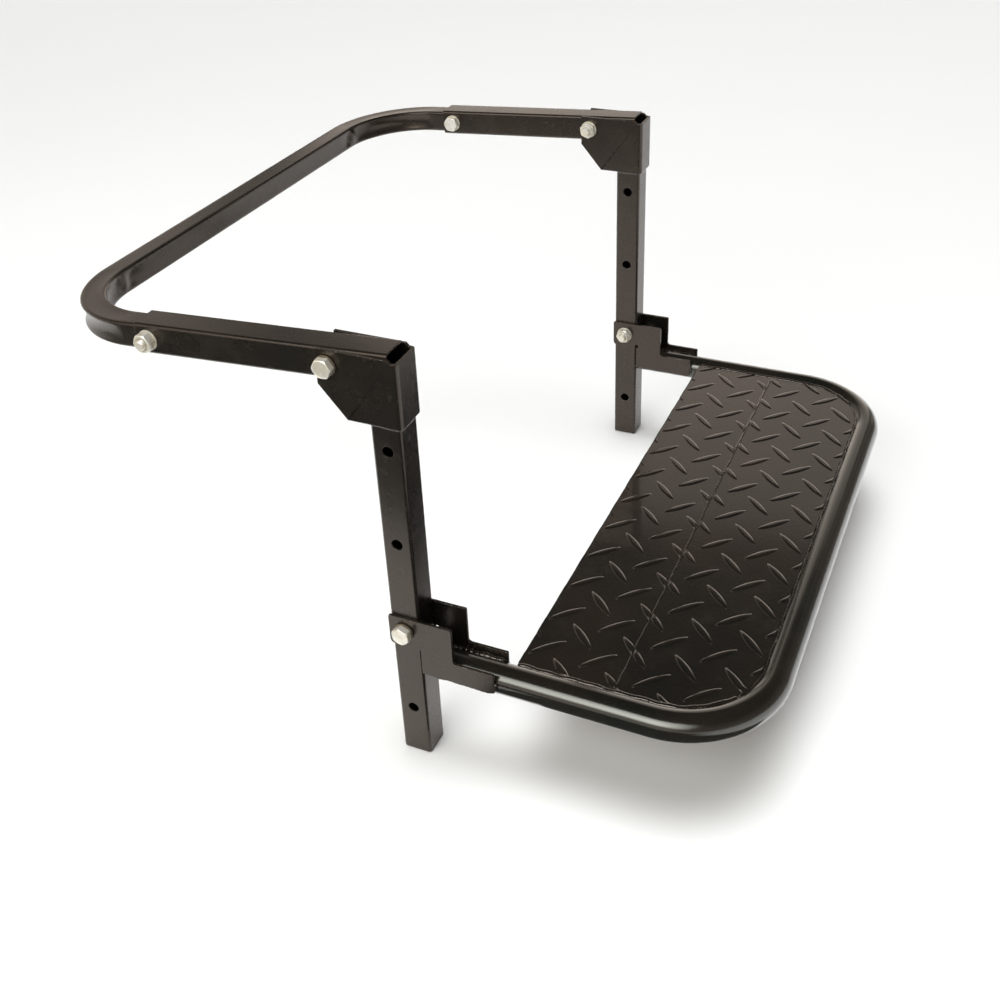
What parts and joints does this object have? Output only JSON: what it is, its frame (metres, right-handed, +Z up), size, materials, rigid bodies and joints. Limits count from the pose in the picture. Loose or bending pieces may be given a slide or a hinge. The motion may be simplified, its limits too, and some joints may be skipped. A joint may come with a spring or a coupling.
{
  "type": "hook-over folding step",
  "caption": "Folding work step: a sliding hoop hooks over the support, drilled legs hang in front of it and a chequer deck folds down from them.",
  "frame": {"origin": "the corner that hooks on: on the plane of the legs' inner faces, where the undersides of the sleeves cross it, at mid width", "axes": "+X out from the support, from the hoop towards the deck; +Y across the step, from its left arm to its right arm; +Z up, against the way the legs hang"},
  "size_m": [0.7205, 0.6936, 0.4537],
  "materials": {
    "frame_paint": "satin to gloss black paint over welded steel tube and plate",
    "deck_paint": "satin black paint over raised-pattern steel plate",
    "zinc_hardware": "bright zinc plating with a faint yellow tint"
  },
  "bodies": {
    "upright_frame": {"leg_left": "frame_paint", "leg_right": "frame_paint", "corner_bracket_left": "frame_paint", "corner_bracket_right": "frame_paint", "pivot_bolt_left": "zinc_hardware", "pivot_nut_left": "zinc_hardware", "pivot_head_washer_left": "zinc_hardware", "pivot_nut_washer_left": "zinc_hardware", "pivot_bolt_right": "zinc_hardware", "pivot_nut_right": "zinc_hardware", "pivot_head_washer_right": "zinc_hardware", "pivot_nut_washer_right": "zinc_hardware", "step_bolt_left": "zinc_hardware", "step_nut_left": "zinc_hardware", "step_head_washer_left": "zinc_hardware", "step_nut_washer_left": "zinc_hardware", "step_bolt_right": "zinc_hardware", "step_nut_right": "zinc_hardware", "step_head_washer_right": "zinc_hardware", "step_nut_washer_right": "zinc_hardware"},
    "arm_sleeves": {"sleeve_left": "frame_paint", "sleeve_right": "frame_paint", "lock_bolt_left": "zinc_hardware", "lock_nut_left": "zinc_hardware", "lock_head_washer_left": "zinc_hardware", "lock_nut_washer_left": "zinc_hardware", "lock_bolt_right": "zinc_hardware", "lock_nut_right": "zinc_hardware", "lock_head_washer_right": "zinc_hardware", "lock_nut_washer_right": "zinc_hardware"},
    "hoop": {"hoop": "frame_paint"},
    "step_platform": {"step_cheek_outer_left": "frame_paint", "step_cheek_inner_left": "frame_paint", "step_cheek_outer_right": "frame_paint", "step_cheek_inner_right": "frame_paint", "step_tube": "frame_paint", "deck_panel_inner": "deck_paint", "deck_panel_outer": "deck_paint"}
  },
  "joints": [
    {"name": "hoop_fold", "type": "hinge", "parent": "upright_frame", "child": "arm_sleeves", "pos_m": [-0.035, 0, 0.01295], "axis": [0, -1, 0], "range_deg": [0, 86]},
    {"name": "hoop_reach", "type": "slide", "parent": "arm_sleeves", "child": "hoop", "axis": [-0.9982, 0, -0.0593], "range_m": [0, 0.08]},
    {"name": "step_fold", "type": "hinge", "parent": "upright_frame", "child": "step_platform", "pos_m": [0.015, 0, -0.2653], "axis": [0, -1, 0], "range_deg": [0, 90]}
  ]
}
